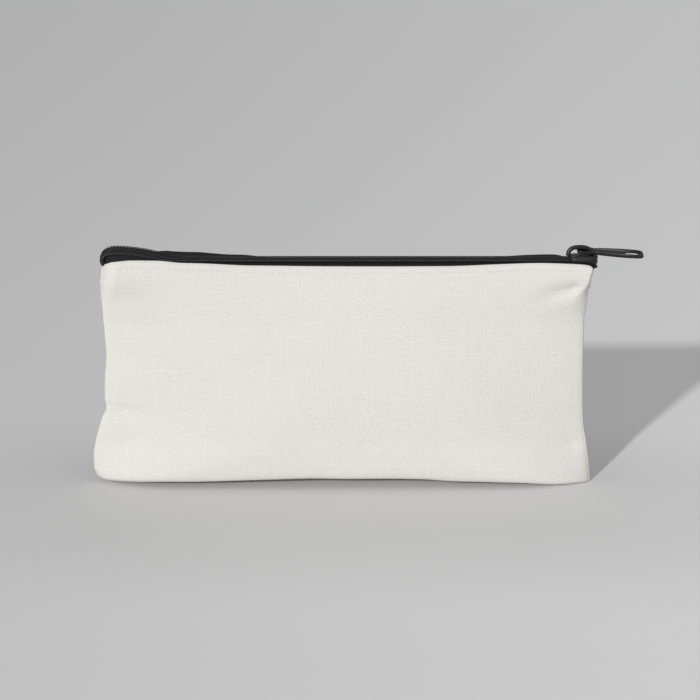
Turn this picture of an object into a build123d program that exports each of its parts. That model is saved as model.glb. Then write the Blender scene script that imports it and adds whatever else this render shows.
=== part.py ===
"""A canvas pencil case, standing on its base, with a nylon coil zip along its mouth.

Millimetres. The origin is the middle of the base. +X runs along the zip towards its closed end,
-Y is the front and +Z is up. The front panel and the middle of its half of the zip swing open about
the front lower edge, the slider runs along the zip and the pull turns in the slider's crown.
"""

import os
from math import cos, pi, sqrt

from build123d import *

# Overall
CASE_LENGTH = 215.0  # between the side seams
CASE_HEIGHT = 99.4  # from the floor to the canvas's top fold
BASE_HALF_DEPTH = 8.5
BELLY_HALF_DEPTH = 13.2
BELLY_HEIGHT = 30.0
SEAM_HALF_DEPTH = 1.3  # what is left of the depth at a side seam
BELLY_RUN = 60.0  # the length over which the belly draws in to a side seam
MOUTH_RUN = 12.0  # the same at the mouth

# Cloth and seams
CLOTH = 0.8
HEM = 8.0  # canvas turned in along the mouth
SEAM_ALLOWANCE = 7.0
BODY_GAP = 0.3  # between pieces that part when the mouth opens
FLOOR_GAP = 0.4  # under the front panel
ALLOWANCE_LIFT = 0.4  # of the bottom seam's allowance above the base
HEM_TO_SEAM = 2.0  # from an end of the hem's straight stretch to where it draws in
CORNER_GAP = 0.55  # under the slider, where the mouth's corners fold down

WALL_SHARES_BELOW = (0.12, 0.5, 1.0)  # heights where a wall is drawn, as shares of the belly's
WALL_SHARES_ABOVE = (0.35, 0.7)  # and of what is between the belly and the hem
SEAM_STEPS = (0.0, 1.5, 4.0, 8.0, 12.0, 14.0, 20.0, 35.0, 60.0)  # sections, from a side seam

# Threads
THREAD = 0.35  # how far a stitch stands out
STITCH_WIDTH = 0.5
STITCH_PITCH = 3.0
STITCH_LENGTH = 2.4
TOPSTITCH_DROP = 2.7  # below the top fold
OVERLOCK_WIDTH = 1.2
OVERLOCK_WRAP = 0.15  # round each face of the cloth
SEAM_STITCH_INSET = 1.5  # from a seam
SEAM_STITCH_START = 6.0  # above the floor and below the mouth's corners

# Zip
TAPE = 0.6
TAPE_CENTRE_GAP = 0.6  # from the middle line to a tape's inner edge
TAPE_DROP = 11.2  # of the tape behind the hem, below the top fold
TAPE_OVERHANG_OPEN = 2.5  # past the side seam at the left end
TAPE_OVERHANG_CLOSED = 4.5  # past the side seam at the right end
COIL_WIDTH = 2.6
COIL_HEIGHT = 2.4
COIL_CENTRE_GAP = 0.4
CORE_CORD = 1.0
COIL_THREAD_WIDTH = 0.8
COIL_THREAD_DEPTH = 0.3
TACK_LENGTH = 1.0
TACK_HEIGHT = 1.2
TACK_MARGIN = 0.3  # from a tack to the end of the tape, and to the coil

# Slider
SLIDER_LENGTH = 12.7
SLIDER_FLANGE = 1.35  # the wall outside each coil
SLIDER_CLEARANCE = 0.15  # all round the chain
SLIDER_TO_TAPE = 0.5  # each side, to the tapes where they turn down
SLIDER_PLATE = 1.0
SLIDER_POST = 0.5
SLIDER_POST_LENGTH = 5.0
SLIDER_CORNER = 1.6
SLIDER_TO_TACK = 0.35  # from the closed slider to the bar tack
SLIDER_TRAVEL = 174.0
CROWN_LENGTH = 10.4
CROWN_HEIGHT = 4.5
CROWN_WIDTH = 2.0
CROWN_METAL = 1.1

# Pull
PULL_PIVOT_HEIGHT = 1.95  # above the slider's top plate
PULL_REACH = 28.2  # from the pivot to the far end
PULL_HALF_WIDTH = 3.8
PULL_THICKNESS = 1.6
PULL_BAR = 1.3
PULL_EYE_LENGTH = 6.0
PULL_EYE_GAP = 0.5  # each side of the crown
PULL_SLOT_LENGTH = 7.0
PULL_SLOT_WIDTH = 2.8
PULL_SLOT_MARGIN = 1.7  # from the slot to the far end
PULL_SLOPE = -4.0  # degrees, at rest
PULL_FAR_CORNER = 3.0
PULL_NEAR_CORNER = 1.6
PULL_EDGE = 0.3

# Where the pieces come
seam_x = CASE_LENGTH / 2
coil_outer_y = COIL_CENTRE_GAP + COIL_WIDTH
slider_half_width = coil_outer_y + SLIDER_CLEARANCE + SLIDER_FLANGE
leg_y = slider_half_width + SLIDER_TO_TAPE + TAPE
mouth_half_depth = leg_y + 2 * CLOTH
hem_z = CASE_HEIGHT - HEM
tape_z = CASE_HEIGHT - TAPE
coil_z = tape_z + TAPE
coil_top = coil_z + COIL_HEIGHT
leg_x = seam_x - MOUTH_RUN - HEM_TO_SEAM
tape_left = -seam_x - TAPE_OVERHANG_OPEN
tape_right = seam_x + TAPE_OVERHANG_CLOSED
tack_inset = TACK_MARGIN + TACK_LENGTH
slider_x = tape_right - tack_inset - SLIDER_TO_TACK - SLIDER_LENGTH / 2
slider_open_x = slider_x - SLIDER_TRAVEL
coil_left = tape_left + tack_inset + TACK_MARGIN
coil_right = tape_right - tack_inset - TACK_MARGIN
middle_left = slider_open_x + SLIDER_LENGTH / 2 + BODY_GAP
middle_right = slider_x - SLIDER_LENGTH / 2 - BODY_GAP
plate_z = coil_top + SLIDER_CLEARANCE
plate_top = plate_z + SLIDER_PLATE
pivot_z = plate_top + PULL_PIVOT_HEIGHT
corner_z = tape_z - SLIDER_CLEARANCE - SLIDER_PLATE - CORNER_GAP


def block(x0, x1, y0, y1, z0, z1):
    """A box between two corners."""
    middle = Pos((x0 + x1) / 2, (y0 + y1) / 2, (z0 + z1) / 2)
    return middle * Box(x1 - x0, y1 - y0, z1 - z0)


def drawn_in(x, run):
    """How full the case is at x, from 0 at a side seam to 1 further in than run."""
    share = min((seam_x - abs(x)) / run, 1.0)
    return sqrt(1 - (1 - share) ** 2)


def profile(z):
    """Half the case's depth at a height, halfway along it."""
    if z >= hem_z:
        return mouth_half_depth
    if z <= BELLY_HEIGHT:
        curve = sqrt(1 - (1 - z / BELLY_HEIGHT) ** 2)
        return BASE_HALF_DEPTH + (BELLY_HALF_DEPTH - BASE_HALF_DEPTH) * curve
    fall = (1 + cos(pi * (z - BELLY_HEIGHT) / (hem_z - BELLY_HEIGHT))) / 2
    return mouth_half_depth + (BELLY_HALF_DEPTH - mouth_half_depth) * fall


def half_depth(x, z):
    """Half the case's depth at a point along it and a height."""
    up = min(z / hem_z, 1.0) ** 2
    full = drawn_in(x, BELLY_RUN) * (1 - up) + drawn_in(x, MOUTH_RUN) * up
    return SEAM_HALF_DEPTH + (profile(z) - SEAM_HALF_DEPTH) * full


def top_fold(x):
    """The height of the canvas's top fold, which is lower at the mouth's corners."""
    return CASE_HEIGHT if abs(x) <= leg_x else corner_z


def stations(end_x):
    """The places along the case where a section is drawn, up to end_x each way."""
    inner = [seam_x - step for step in SEAM_STEPS if seam_x - step < end_x - 0.5]
    half = sorted({0.0, *inner, end_x})
    return [-x for x in reversed(half[1:])] + half


def skin(outline, end_x):
    """A solid through the outlines that a function of x gives, each a list of (y, z)."""
    faces = []
    for x in stations(end_x):
        points = [(x, y, z) for y, z in outline(x)]
        faces.append(make_face(Polyline(*points, close=True)))
    return loft(faces, ruled=True)


def wall(x, foot):
    """The outline of one wall, on the +Y side, from its foot to the hem."""
    top = top_fold(x)
    heights = [foot + CLOTH]
    heights += [BELLY_HEIGHT * share for share in WALL_SHARES_BELOW]
    heights += [BELLY_HEIGHT + (hem_z - BELLY_HEIGHT) * share for share in WALL_SHARES_ABOVE]
    outer = [(half_depth(x, z), z) for z in [foot] + heights + [hem_z, top]]
    turned = max(half_depth(x, top) - 2 * CLOTH, BODY_GAP / 2)
    inner = [(turned, top), (turned, hem_z)]
    inner += [(half_depth(x, z) - CLOTH, z) for z in [hem_z] + heights[::-1]]
    return outer, inner


def front_outline(x):
    """The front panel's outline, which stands just above the floor."""
    outer, inner = wall(x, FLOOR_GAP)
    foot = (half_depth(x, FLOOR_GAP) - CLOTH, FLOOR_GAP)
    return [(-y, z) for y, z in outer + inner + [foot]]


def back_outline(x):
    """The back panel's outline, with the base that it turns into."""
    outer, inner = wall(x, 0.0)
    base_y = -(half_depth(x, FLOOR_GAP) - CLOTH - BODY_GAP)
    return [(base_y, 0.0)] + outer + inner + [(base_y, CLOTH)]


def bottom_allowance_outline(x):
    """The front panel's allowance at the bottom seam, lying over the base."""
    low = CLOTH + ALLOWANCE_LIFT
    root = -(half_depth(x, low) - CLOTH / 2)
    tip = -(BASE_HALF_DEPTH - SEAM_ALLOWANCE)
    return [(root, low), (tip, low), (tip, low + CLOTH), (root, low + CLOTH)]


def side_allowances(side, low_z):
    """The seam allowances of one panel at both side seams, turned in against the other panel's."""
    near, far = BODY_GAP / 2, BODY_GAP / 2 + CLOTH
    y0, y1 = sorted((side * near, side * far))
    top = corner_z - CLOTH
    right = block(seam_x - SEAM_ALLOWANCE, seam_x, y0, y1, low_z, top)
    left = block(-seam_x, SEAM_ALLOWANCE - seam_x, y0, y1, low_z, top)
    return right, left


def stitches(start, end, place):
    """A row of stitches between two distances, each made by a function of its two ends."""
    count = int((end - start + STITCH_PITCH - STITCH_LENGTH) // STITCH_PITCH)
    slack = (end - start) - (count * STITCH_PITCH - (STITCH_PITCH - STITCH_LENGTH))
    first = start + slack / 2
    row = [first + STITCH_PITCH * i for i in range(count)]
    return Compound(children=[place(at, at + STITCH_LENGTH) for at in row])


# Canvas
def make_front_panel():
    """The front panel with its hem, its side allowances and its bottom allowance."""
    panel = skin(front_outline, seam_x)
    for allowance in side_allowances(-1, FLOOR_GAP + CLOTH):
        panel += allowance
    return panel + skin(bottom_allowance_outline, seam_x - 2 * SEAM_ALLOWANCE)


def make_back_panel():
    """The back panel with the base, its hem and its side allowances."""
    panel = skin(back_outline, seam_x)
    for allowance in side_allowances(1, CLOTH / 2):
        panel += allowance
    return panel


# Zip
def tape_strip(side, x0, x1, outer_y=leg_y):
    """The flat part of a tape, which carries the coil."""
    y0, y1 = sorted((side * TAPE_CENTRE_GAP, side * outer_y))
    return block(x0, x1, y0, y1, tape_z, tape_z + TAPE)


def loose_strip(side, x0, x1):
    """A tape's flat part where it isn't sewn to the hem beside it."""
    return tape_strip(side, x0, x1, leg_y - BODY_GAP)


def tape_leg(side, x0, x1):
    """The part of a tape behind the hem, which is sewn to it."""
    y0, y1 = sorted((side * (leg_y - TAPE), side * leg_y))
    return block(x0, x1, y0, y1, CASE_HEIGHT - TAPE_DROP, tape_z + TAPE)


def coil(side, x0, x1):
    """A coil's envelope, with a bore for its core cord and a channel for its stitching."""
    y0, y1 = sorted((side * COIL_CENTRE_GAP, side * coil_outer_y))
    envelope = block(x0, x1, y0, y1, coil_z, coil_top)
    return envelope - core_cord(side, x0, x1) - coil_stitching(side, x0, x1)


def core_cord(side, x0, x1):
    """The filler cord inside a coil."""
    y, z = side * (COIL_CENTRE_GAP + COIL_WIDTH / 2), coil_z + COIL_HEIGHT / 2
    half = CORE_CORD / 2
    return block(x0, x1, y - half, y + half, z - half, z + half)


def coil_stitching(side, x0, x1):
    """The chain stitch that holds a coil down on its tape."""
    y, half = side * (COIL_CENTRE_GAP + COIL_WIDTH / 2), COIL_THREAD_WIDTH / 2
    return block(x0, x1, y - half, y + half, coil_top - COIL_THREAD_DEPTH, coil_top)


def make_back_tape():
    """The back tape, whole."""
    return tape_strip(1, tape_left, tape_right) + tape_leg(1, -leg_x, leg_x)


def make_front_tape():
    """The part of the front tape that opens with the front panel."""
    return tape_strip(-1, middle_left, middle_right) + tape_leg(-1, middle_left, leg_x)


def both_ends(make, left_end, right_end):
    """A front piece's two ends, which stay closed beyond the slider's two stops."""
    left = make(-1, left_end, middle_left - BODY_GAP)
    right = make(-1, middle_right + BODY_GAP, right_end)
    return Compound(children=[left, right])


def make_end_tacks():
    """A bar tack across both tapes at each end of the zip."""
    tacks = []
    for x in (tape_left + TACK_MARGIN, tape_right - tack_inset):
        top = coil_z + TACK_HEIGHT
        tacks.append(block(x, x + TACK_LENGTH, -coil_outer_y, coil_outer_y, coil_z, top))
    return Compound(children=tacks)


# Threads in the canvas
def make_topstitch(side):
    """The row of stitches that sews a hem to its tape."""
    z = CASE_HEIGHT - TOPSTITCH_DROP
    y0, y1 = sorted((side * mouth_half_depth, side * (mouth_half_depth + THREAD)))
    half = STITCH_WIDTH / 2
    return stitches(-leg_x, leg_x, lambda a, b: block(a, b, y0, y1, z - half, z + half))


def make_seam_stitching(side):
    """The needle thread of a side seam, on the back panel's allowance."""
    x, half = side * (seam_x - SEAM_STITCH_INSET), STITCH_WIDTH / 2
    y = BODY_GAP / 2 + CLOTH
    start, end = SEAM_STITCH_START, corner_z - SEAM_STITCH_START
    return stitches(start, end, lambda a, b: block(x - half, x + half, y, y + THREAD, a, b))


def make_seam_overlock(side):
    """The overlock along the raw edge of a side seam."""
    x0, x1 = sorted(side * (seam_x - SEAM_ALLOWANCE - w) for w in (0.0, OVERLOCK_WIDTH))
    y0 = BODY_GAP / 2 - OVERLOCK_WRAP
    y1 = BODY_GAP / 2 + CLOTH + OVERLOCK_WRAP
    return block(x0, x1, y0, y1, SEAM_STITCH_START, corner_z - SEAM_STITCH_START)


def make_bottom_stitching():
    """The needle thread of the bottom seam, on the front panel's allowance."""
    half_run = seam_x - BELLY_RUN
    y = -(BASE_HALF_DEPTH - SEAM_STITCH_INSET)
    z = 2 * CLOTH + ALLOWANCE_LIFT
    half = STITCH_WIDTH / 2
    return stitches(-half_run, half_run, lambda a, b: block(a, b, y - half, y + half, z, z + THREAD))


def make_bottom_overlock():
    """The overlock along the raw edge of the bottom seam."""
    end = seam_x - 2 * SEAM_ALLOWANCE
    y = -(BASE_HALF_DEPTH - SEAM_ALLOWANCE)
    z = CLOTH + ALLOWANCE_LIFT
    return block(-end, end, y, y + OVERLOCK_WIDTH, z - OVERLOCK_WRAP, z + CLOTH + OVERLOCK_WRAP)


# Slider and pull
def make_slider():
    """The slider, closed: two plates joined by a post, side flanges and a crown."""
    end, wide = SLIDER_LENGTH / 2, slider_half_width
    low_top = tape_z - SLIDER_CLEARANCE
    body = block(-end, end, -wide, wide, plate_z, plate_top)
    body += block(-end, end, -wide, wide, low_top - SLIDER_PLATE, low_top)
    inner = coil_outer_y + SLIDER_CLEARANCE
    flange_z = coil_z + SLIDER_CLEARANCE
    for side in (-1, 1):
        y0, y1 = sorted((side * inner, side * wide))
        body += block(-end, end, y0, y1, flange_z, plate_z)
    body = fillet(body.edges().filter_by(Axis.Z).filter_by(on_a_corner), SLIDER_CORNER)
    half = SLIDER_POST / 2
    body += block(end - SLIDER_POST_LENGTH, end, -half, half, low_top - SLIDER_PLATE, plate_top)
    return Pos(slider_x, 0, 0) * (body + make_crown())


def on_a_corner(edge):
    """Whether an upright edge is at one of the slider's four corners."""
    middle = edge.center()
    return abs(middle.X) > SLIDER_LENGTH / 2 - 0.1 and abs(middle.Y) > slider_half_width - 0.1


def make_crown():
    """The arch on the slider's top plate that holds the pull."""
    outer = crown_profile(CROWN_LENGTH, CROWN_HEIGHT)
    inner = crown_profile(CROWN_LENGTH - 2 * CROWN_METAL, CROWN_HEIGHT - CROWN_METAL)
    sunk = SLIDER_PLATE / 2
    arch = extrude(Plane.XZ * (outer - inner), CROWN_WIDTH / 2, both=True)
    feet = extrude(Plane.XZ * (crown_feet(sunk)), CROWN_WIDTH / 2, both=True)
    return Pos(0, 0, plate_top) * (arch + feet)


def crown_profile(length, height):
    """A half ellipse with a flat foot, seen from the front."""
    whole = Ellipse(length / 2, height)
    return whole & Pos(0, height / 2) * Rectangle(length, height)


def crown_feet(sunk):
    """The crown's two feet, let into the top plate."""
    foot = Rectangle(CROWN_METAL, sunk)
    x = (CROWN_LENGTH - CROWN_METAL) / 2
    return Pos(x, -sunk / 2) * foot + Pos(-x, -sunk / 2) * foot


def make_pull():
    """The pull at rest: a plate with an eye round the crown and a slot near its far end."""
    root = PULL_THICKNESS / 2
    middle = (PULL_REACH - root) / 2
    plate = Pos(middle, 0) * Rectangle(PULL_REACH + root, 2 * PULL_HALF_WIDTH)
    plate = fillet(plate.vertices().sort_by(Axis.X)[-2:], PULL_FAR_CORNER)
    plate = fillet(plate.vertices().sort_by(Axis.X)[:2], PULL_NEAR_CORNER)
    eye_half = CROWN_WIDTH / 2 + PULL_EYE_GAP
    eye_length = PULL_EYE_LENGTH + root
    plate -= Pos(eye_length / 2 - root, 0) * Rectangle(eye_length, 2 * eye_half)
    slot_x = PULL_REACH - PULL_SLOT_MARGIN - PULL_SLOT_LENGTH / 2
    plate -= Pos(slot_x, 0) * SlotOverall(PULL_SLOT_LENGTH, PULL_SLOT_WIDTH)
    pull = extrude(plate, PULL_THICKNESS / 2, both=True)
    pull = chamfer(pull.faces().filter_by(Axis.Z).edges(), PULL_EDGE)
    pull += Rot(90, 0, 0) * Cylinder(PULL_BAR / 2, 2 * eye_half + PULL_BAR)
    return Pos(slider_x, 0, pivot_z) * Rot(0, -PULL_SLOPE, 0) * pull


PARTS = {
    "front_panel": make_front_panel(),
    "back_panel": make_back_panel(),
    "front_tape": make_front_tape(),
    "back_tape": make_back_tape(),
    "front_tape_ends": both_ends(loose_strip, tape_left, tape_right),
    "front_coil": coil(-1, middle_left, middle_right),
    "back_coil": coil(1, coil_left, coil_right),
    "front_coil_ends": both_ends(coil, coil_left, coil_right),
    "front_core_cord": core_cord(-1, middle_left, middle_right),
    "back_core_cord": core_cord(1, coil_left, coil_right),
    "front_coil_stitching": coil_stitching(-1, middle_left, middle_right),
    "back_coil_stitching": coil_stitching(1, coil_left, coil_right),
    "front_topstitch": make_topstitch(-1),
    "back_topstitch": make_topstitch(1),
    "left_seam_stitching": make_seam_stitching(-1),
    "right_seam_stitching": make_seam_stitching(1),
    "left_seam_overlock": make_seam_overlock(-1),
    "right_seam_overlock": make_seam_overlock(1),
    "bottom_seam_stitching": make_bottom_stitching(),
    "bottom_seam_overlock": make_bottom_overlock(),
    "zip_end_tacks": make_end_tacks(),
    "slider_body": make_slider(),
    "pull_tab": make_pull(),
}

os.makedirs("parts", exist_ok=True)
for name, shape in PARTS.items():
    shape.label = name
    export_step(shape, f"parts/{name}.step")
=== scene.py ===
"""Canvas pencil case with a coil zip: the finished pieces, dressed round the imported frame.

Lengths inside the classes are in millimetres, in the frame's own axes: +X runs along the zip to its
closed end, -Y is the front and +Z is up. They become metres where a mesh is written.
"""

import logging
import math
from collections.abc import Callable, Iterable
from dataclasses import dataclass, field
from enum import Enum

import bmesh
import bpy
from mathutils import Matrix, Vector, noise

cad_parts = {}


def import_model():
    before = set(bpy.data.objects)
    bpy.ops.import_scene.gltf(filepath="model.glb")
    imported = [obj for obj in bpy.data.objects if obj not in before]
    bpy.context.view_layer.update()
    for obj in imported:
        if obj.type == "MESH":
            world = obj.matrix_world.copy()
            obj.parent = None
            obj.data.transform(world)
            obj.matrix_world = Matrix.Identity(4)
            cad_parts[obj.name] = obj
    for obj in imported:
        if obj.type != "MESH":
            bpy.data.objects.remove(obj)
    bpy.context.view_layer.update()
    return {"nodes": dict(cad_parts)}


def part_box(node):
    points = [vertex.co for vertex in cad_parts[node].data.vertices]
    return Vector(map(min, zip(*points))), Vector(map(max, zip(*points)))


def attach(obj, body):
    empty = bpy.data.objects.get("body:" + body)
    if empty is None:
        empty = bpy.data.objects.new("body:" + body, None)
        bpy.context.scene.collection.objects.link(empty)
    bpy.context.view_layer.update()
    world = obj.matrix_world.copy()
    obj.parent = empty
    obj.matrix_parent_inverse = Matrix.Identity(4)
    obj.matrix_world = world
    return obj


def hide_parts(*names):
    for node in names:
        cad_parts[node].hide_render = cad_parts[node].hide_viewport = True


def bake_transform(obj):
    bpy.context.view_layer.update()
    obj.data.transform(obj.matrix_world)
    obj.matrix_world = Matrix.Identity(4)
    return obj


log = logging.getLogger("pencil_case")

MM = 0.001
BACK, FRONT = "back_half", "front_half"


# --------------------------------------------------------------------------- curves and numbers


def smooth(value: float) -> float:
    """A step from 0 to 1 with soft ends."""
    t = min(max(value, 0.0), 1.0)
    return t * t * (3 - 2 * t)


def mix(a: float, b: float, share: float) -> float:
    """What lies between a and b at a share of the way."""
    return a + (b - a) * share


@dataclass(frozen=True)
class Line:
    """A smooth line through a few points, each a place and the value there."""

    points: tuple[tuple[float, float], ...]

    def __call__(self, at: float) -> float:
        """The line's value.

        Args:
            at: the place along the line; past its ends the end values hold.

        Returns:
            The value there.
        """
        pts = self.points
        if at <= pts[0][0]:
            return pts[0][1]
        if at >= pts[-1][0]:
            return pts[-1][1]
        i = next(k for k in range(len(pts) - 1) if at <= pts[k + 1][0])
        (x0, y0), (x1, y1) = pts[i], pts[i + 1]
        span = x1 - x0
        t = (at - x0) / span
        m0, m1 = self.slope(i) * span, self.slope(i + 1) * span
        a, b = 2 * t**3 - 3 * t**2 + 1, t**3 - 2 * t**2 + t
        return a * y0 + b * m0 + (1 - a) * y1 + (t**3 - t**2) * m1

    def slope(self, i: int) -> float:
        """The slope at a point, nought at a peak, a dip and both ends."""
        if i in (0, len(self.points) - 1):
            return 0.0
        (xa, ya), (xb, yb), (xc, yc) = self.points[i - 1 : i + 2]
        left, right = (yb - ya) / (xb - xa), (yc - yb) / (xc - xb)
        if left * right <= 0:
            return 0.0
        return 2 * left * right / (left + right)


class Path:
    """A smooth route in the X-Z plane, walked by its length."""

    def __init__(self, points: Iterable[tuple[float, float]], per_span: int = 24) -> None:
        """Samples a spline through the points.

        Args:
            points: the route's points, as (x, z).
            per_span: how many samples lie between two of them.
        """
        knots = [Vector(p) for p in points]
        ends = [2 * knots[0] - knots[1], *knots, 2 * knots[-1] - knots[-2]]
        self.places: list[Vector] = []
        for a, b, c, d in zip(ends, ends[1:], ends[2:], ends[3:]):
            for k in range(per_span):
                t = k / per_span
                turn = 2 * b + (c - a) * t + (2 * a - 5 * b + 4 * c - d) * t**2
                self.places.append((turn + (3 * b - a - 3 * c + d) * t**3) / 2)
        self.places.append(knots[-1])
        self.lengths = [0.0]
        for a, b in zip(self.places, self.places[1:]):
            self.lengths.append(self.lengths[-1] + (b - a).length)

    @property
    def length(self) -> float:
        """The route's whole length."""
        return self.lengths[-1]

    def at(self, distance: float) -> tuple[Vector, Vector]:
        """Where a walk along the route has come to.

        Args:
            distance: how far it has gone.

        Returns:
            The place and the direction there, both as (x, z).
        """
        low, high = 0, len(self.lengths) - 2
        while low < high:
            middle = (low + high + 1) // 2
            low, high = (middle, high) if self.lengths[middle] <= distance else (low, middle - 1)
        a, b = self.places[low], self.places[low + 1]
        step = self.lengths[low + 1] - self.lengths[low]
        return a.lerp(b, (distance - self.lengths[low]) / step), (b - a).normalized()


# --------------------------------------------------------------------------- shader graphs


class Socket:
    """A shader value that ordinary arithmetic works on, by adding Math nodes."""

    def __init__(self, graph: "Graph", socket: bpy.types.NodeSocket) -> None:
        """Wraps an output socket of a graph."""
        self.graph = graph
        self.socket = socket

    def maths(self, operation: str, *others: "float | Socket") -> "Socket":
        """The result of a Math node on this value and others."""
        return self.graph.maths(operation, self, *others)

    def __add__(self, other: "float | Socket") -> "Socket":
        """This value plus another."""
        return self.maths("ADD", other)

    __radd__ = __add__

    def __mul__(self, other: "float | Socket") -> "Socket":
        """This value times another."""
        return self.maths("MULTIPLY", other)

    __rmul__ = __mul__

    def __sub__(self, other: "float | Socket") -> "Socket":
        """This value less another."""
        return self.maths("SUBTRACT", other)

    def __rsub__(self, other: "float | Socket") -> "Socket":
        """Another value less this one."""
        return self.graph.maths("SUBTRACT", other, self)

    def __truediv__(self, other: "float | Socket") -> "Socket":
        """This value over another."""
        return self.maths("DIVIDE", other)

    def __pow__(self, other: "float | Socket") -> "Socket":
        """This value to a power."""
        return self.maths("POWER", other)

    def __abs__(self) -> "Socket":
        """This value without its sign."""
        return self.maths("ABSOLUTE")

    def sine(self) -> "Socket":
        """The sine of this value."""
        return self.maths("SINE")

    def over(self, limit: float, soft: float) -> "Socket":
        """A mask that goes from 0 at a limit to 1 a little above it."""
        return self.graph.ramp(self, limit, limit + soft)


class Graph:
    """The node tree of one material."""

    def __init__(self, name: str) -> None:
        """Makes a material with an empty tree and its output.

        Args:
            name: the material's name.
        """
        self.material = bpy.data.materials.new(name)
        self.material.use_nodes = True
        self.tree = self.material.node_tree
        self.tree.nodes.clear()
        self.shader = self.node("BsdfPrincipled")
        output = self.node("OutputMaterial")
        self.tree.links.new(self.shader.outputs["BSDF"], output.inputs["Surface"])

    def node(
        self,
        kind: str,
        settings: dict[str, object] | None = None,
        inputs: dict[str | int, object] | None = None,
    ) -> bpy.types.Node:
        """Adds a node.

        Args:
            kind: its type, without the leading ShaderNode.
            settings: its properties, which are set first.
            inputs: values or links of its sockets, by name or number.

        Returns:
            The node.
        """
        node = self.tree.nodes.new("ShaderNode" + kind)
        for key, value in (settings or {}).items():
            setattr(node, key, value)
        for key, value in (inputs or {}).items():
            self.feed(node.inputs[key], value)
        return node

    def feed(self, socket: bpy.types.NodeSocket, value: object) -> None:
        """Sets a socket to a value, or links it to one."""
        if isinstance(value, Socket):
            self.tree.links.new(value.socket, socket)
        elif isinstance(value, bpy.types.NodeSocket):
            self.tree.links.new(value, socket)
        else:
            socket.default_value = value

    def maths(self, operation: str, *values: "float | Socket") -> Socket:
        """A Math node's result on one to three values."""
        node = self.node("Math", {"operation": operation}, dict(enumerate(values)))
        return Socket(self, node.outputs[0])

    def ramp(self, value: Socket, low: float, high: float) -> Socket:
        """A value spread from 0 at low to 1 at high, and held there."""
        inputs = {"Value": value, "From Min": low, "From Max": high}
        node = self.node("MapRange", {"interpolation_type": "SMOOTHSTEP"}, inputs)
        return Socket(self, node.outputs["Result"])

    def blend(self, share: "float | Socket", a: object, b: object) -> bpy.types.NodeSocket:
        """A colour between two colours."""
        inputs = {"Factor": share, 6: a, 7: b}
        node = self.node("Mix", {"data_type": "RGBA", "clamp_factor": True}, inputs)
        return node.outputs[2]

    def cloth_place(self) -> tuple[Socket, Socket, bpy.types.NodeSocket]:
        """The place on the cloth, in millimetres along it and across it, and as a vector."""
        uv = self.node("UVMap", {"uv_map": Cloth.LAYER}).outputs["UV"]
        apart = self.node("SeparateXYZ", inputs={0: uv})
        u, v = (Socket(self, apart.outputs[k]) * Cloth.PER_UNIT for k in (0, 1))
        return u, v, uv

    def object_place(self) -> bpy.types.NodeSocket:
        """The place in the frame, in metres."""
        return self.node("TexCoord").outputs["Object"]

    def noise(self, vector: object, scale: float, detail: float = 2.0) -> Socket:
        """Soft noise over a vector."""
        inputs = {"Vector": vector, "Scale": scale, "Detail": detail, "Roughness": 0.55}
        return Socket(self, self.node("TexNoise", inputs=inputs).outputs["Fac"])

    def stretched(self, vector: object, x: float, y: float, z: float = 1.0) -> object:
        """A vector with each of its axes scaled."""
        return self.node("Mapping", inputs={"Vector": vector, "Scale": (x, y, z)}).outputs[0]

    def bump(self, height: Socket, depth: float, strength: float = 1.0) -> None:
        """Feeds the shader's normal from a height, whose full range is depth metres."""
        inputs = {"Height": height, "Distance": depth, "Strength": strength}
        self.feed(self.shader.inputs["Normal"], self.node("Bump", inputs=inputs).outputs[0])

    def finish(self, **sockets: object) -> bpy.types.Material:
        """Sets the shader's own sockets.

        Args:
            sockets: values or links, by socket name with underscores for spaces.

        Returns:
            The material.
        """
        for key, value in sockets.items():
            self.feed(self.shader.inputs[key.replace("_", " ")], value)
        return self.material


class Cloth:
    """The cloth's own UV map, one unit of which is a tenth of a metre."""

    LAYER = "cloth"
    PER_UNIT = 100.0


# --------------------------------------------------------------------------- finishes


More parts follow.
